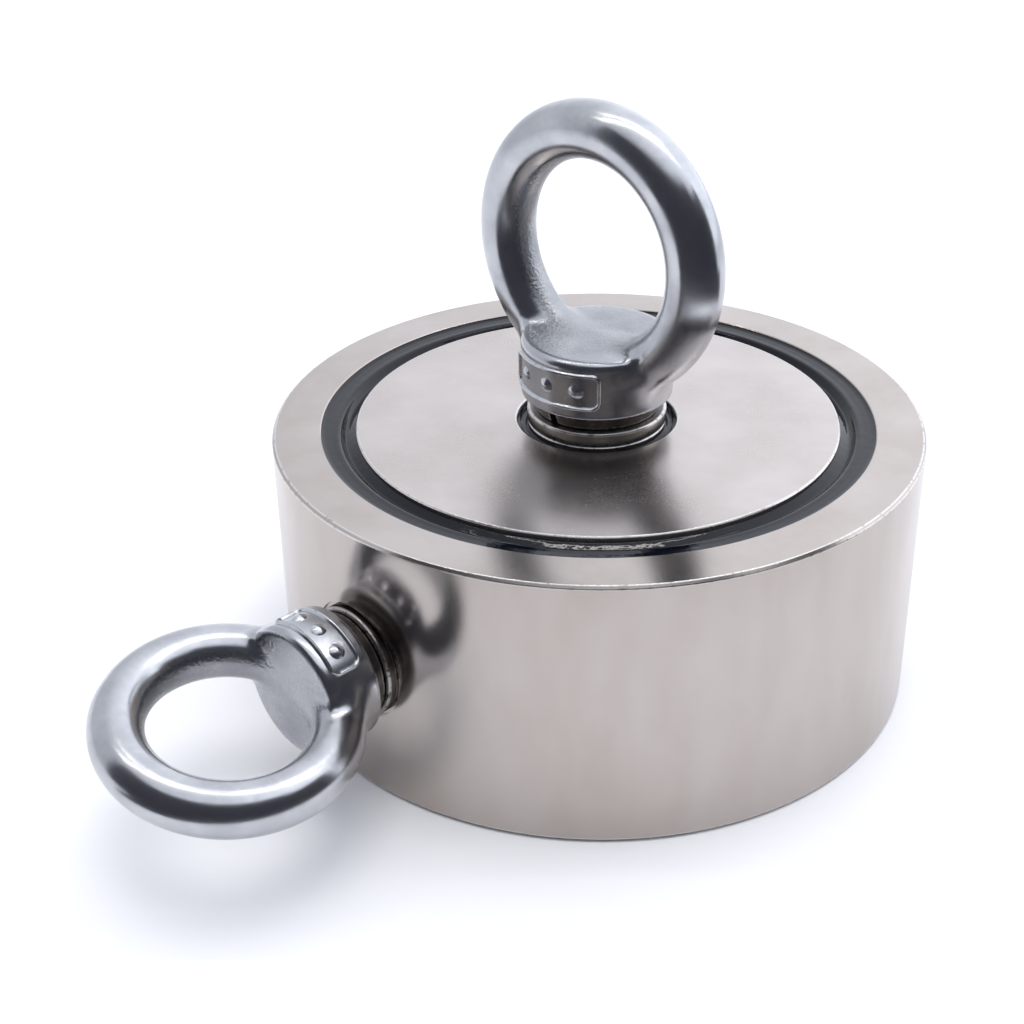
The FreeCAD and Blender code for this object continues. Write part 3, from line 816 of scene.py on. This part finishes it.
# Place, aim and size in mm. radiance is how white the lamp looks in a mirror, where the soft fill never shows.
lampTint = "#fffaf4"
lamps = {
    "nearStrip": dict(place=(-20, 20, 480), aim=(0, 0, 20), size=(640, 8), radiance=20.0),
    "farStrip": dict(place=(-80, 90, 470), aim=(0, 0, 20), size=(420, 20), radiance=4.0),
    "fill": dict(place=(150, -120, 790), aim=(0, 0, 0), size=(380, 380), radiance=4.0, mirrored=False),
    # low sheets before the dark cards shine on the plated faces only, so that these aren't black from behind
    "leftSheet": dict(place=(-60, -294, 118), aim=(0, 0, 118), size=(330, 140), radiance=0.6, plated=True),
    "middleSheet": dict(place=(218, -206, 118), aim=(0, 0, 118), size=(330, 140), radiance=0.3, plated=True),
    "rightSheet": dict(place=(290, 75, 118), aim=(0, 0, 118), size=(330, 140), radiance=0.6, plated=True),
}
platedParts = bpy.data.collections.new("platedParts")
for piece in [nickelPot] + polishedDiscs:
    platedParts.objects.link(piece)
for name, lamp in lamps.items():
    light = bpy.data.lights.new(name, "AREA")
    light.shape = "RECTANGLE"
    light.size, light.size_y = lamp["size"][0] * mm, lamp["size"][1] * mm
    light.color = colour(lampTint)[:3]
    light.energy = lamp["radiance"] * math.pi * light.size * light.size_y
    obj = newObject(name, light)
    # long side level and across the view, face to the aim
    face = (Vector(lamp["place"]) - Vector(lamp["aim"])).normalized()
    level = Vector(tent["right"]) - face * Vector(tent["right"]).dot(face)
    level.normalize()
    obj.matrix_world = Matrix.Translation(Vector(lamp["place"]) * mm) @ Matrix(
        (level, face.cross(level), face)).transposed().to_4x4()
    obj.visible_camera = False
    obj.visible_glossy = lamp.get("mirrored", True)
    if lamp.get("plated"):
        obj.light_linking.receiver_collection = platedParts

# Black felt cards give polished steel its dark bands: two round the camera and one lying in front, all bent
# about the pot's axis. Only reflections see them. start and end are (radius, height) in mm, sweep is in
# degrees from the camera's side of the pot. The felt's nap is drawn coarser than the real one.
cards = {
    "standingCard": dict(start=(330, 0), end=(300, 400), sweep=(-78, 50), felt="#2f2f35", nap="#393940"),
    "sideCard": dict(start=(330, 0), end=(330, 330), sweep=(50, 84), felt="#2f2f35", nap="#393940"),
    "lyingCard": dict(start=(128, 1), end=(330, 1), sweep=(-60, 95), felt="#2d2d33", nap="#36363d"),
}
cameraSide = -43.44
cardShape = dict(steps=40, nap=300.0, rough=1.0)
for name, card in cards.items():
    points, faces = [], []
    begin, stop = card["sweep"]
    for k in range(cardShape["steps"] + 1):
        a = math.radians(cameraSide + begin + (stop - begin) * k / cardShape["steps"])
        for r, z in (card["start"], card["end"]):
            points.append((r * math.cos(a), r * math.sin(a), z))
        if k:
            faces.append([2 * k - 2, 2 * k - 1, 2 * k + 1, 2 * k])
    mesh = buildMesh(name, points, faces)
    felt, nodes, shader, spot = newMaterial(name + "Felt")
    nap = addNode(nodes, "ShaderNodeTexNoise", None, {"Vector": spot, "Scale": cardShape["nap"]})
    link(nodes, blended(nodes, nap.outputs[0], colour(card["felt"]), colour(card["nap"])),
         shader.inputs["Base Color"])
    shader.inputs["Roughness"].default_value = cardShape["rough"]
    mesh.materials.append(felt)
    obj = newObject(name, mesh)
    obj.visible_camera = False
    obj.visible_shadow = False
    obj.visible_diffuse = False

# place in mm, angles in degrees; the scene is small, so the camera may see things as near as 5 mm
view = dict(place=(153.2, -162.4, 150.5), turn=46.56, tilt=60.45, roll=-1.09, lens=60.0, sensor=36.0,
            nearest=5.0)
camera = bpy.data.cameras.new("camera")
camera.lens = view["lens"]
camera.sensor_width = view["sensor"]
camera.clip_start = view["nearest"] * mm
cameraObject = newObject("camera", camera)
cameraObject.matrix_world = (
    Matrix.Translation(Vector(view["place"]) * mm)
    @ Matrix.Rotation(math.radians(view["turn"]), 4, "Z")
    @ Matrix.Rotation(math.radians(view["tilt"]), 4, "X")
    @ Matrix.Rotation(math.radians(view["roll"]), 4, "Z"))
bpy.context.scene.camera = cameraObject
bpy.context.scene.view_settings.view_transform = "Standard"
print("studio ready")
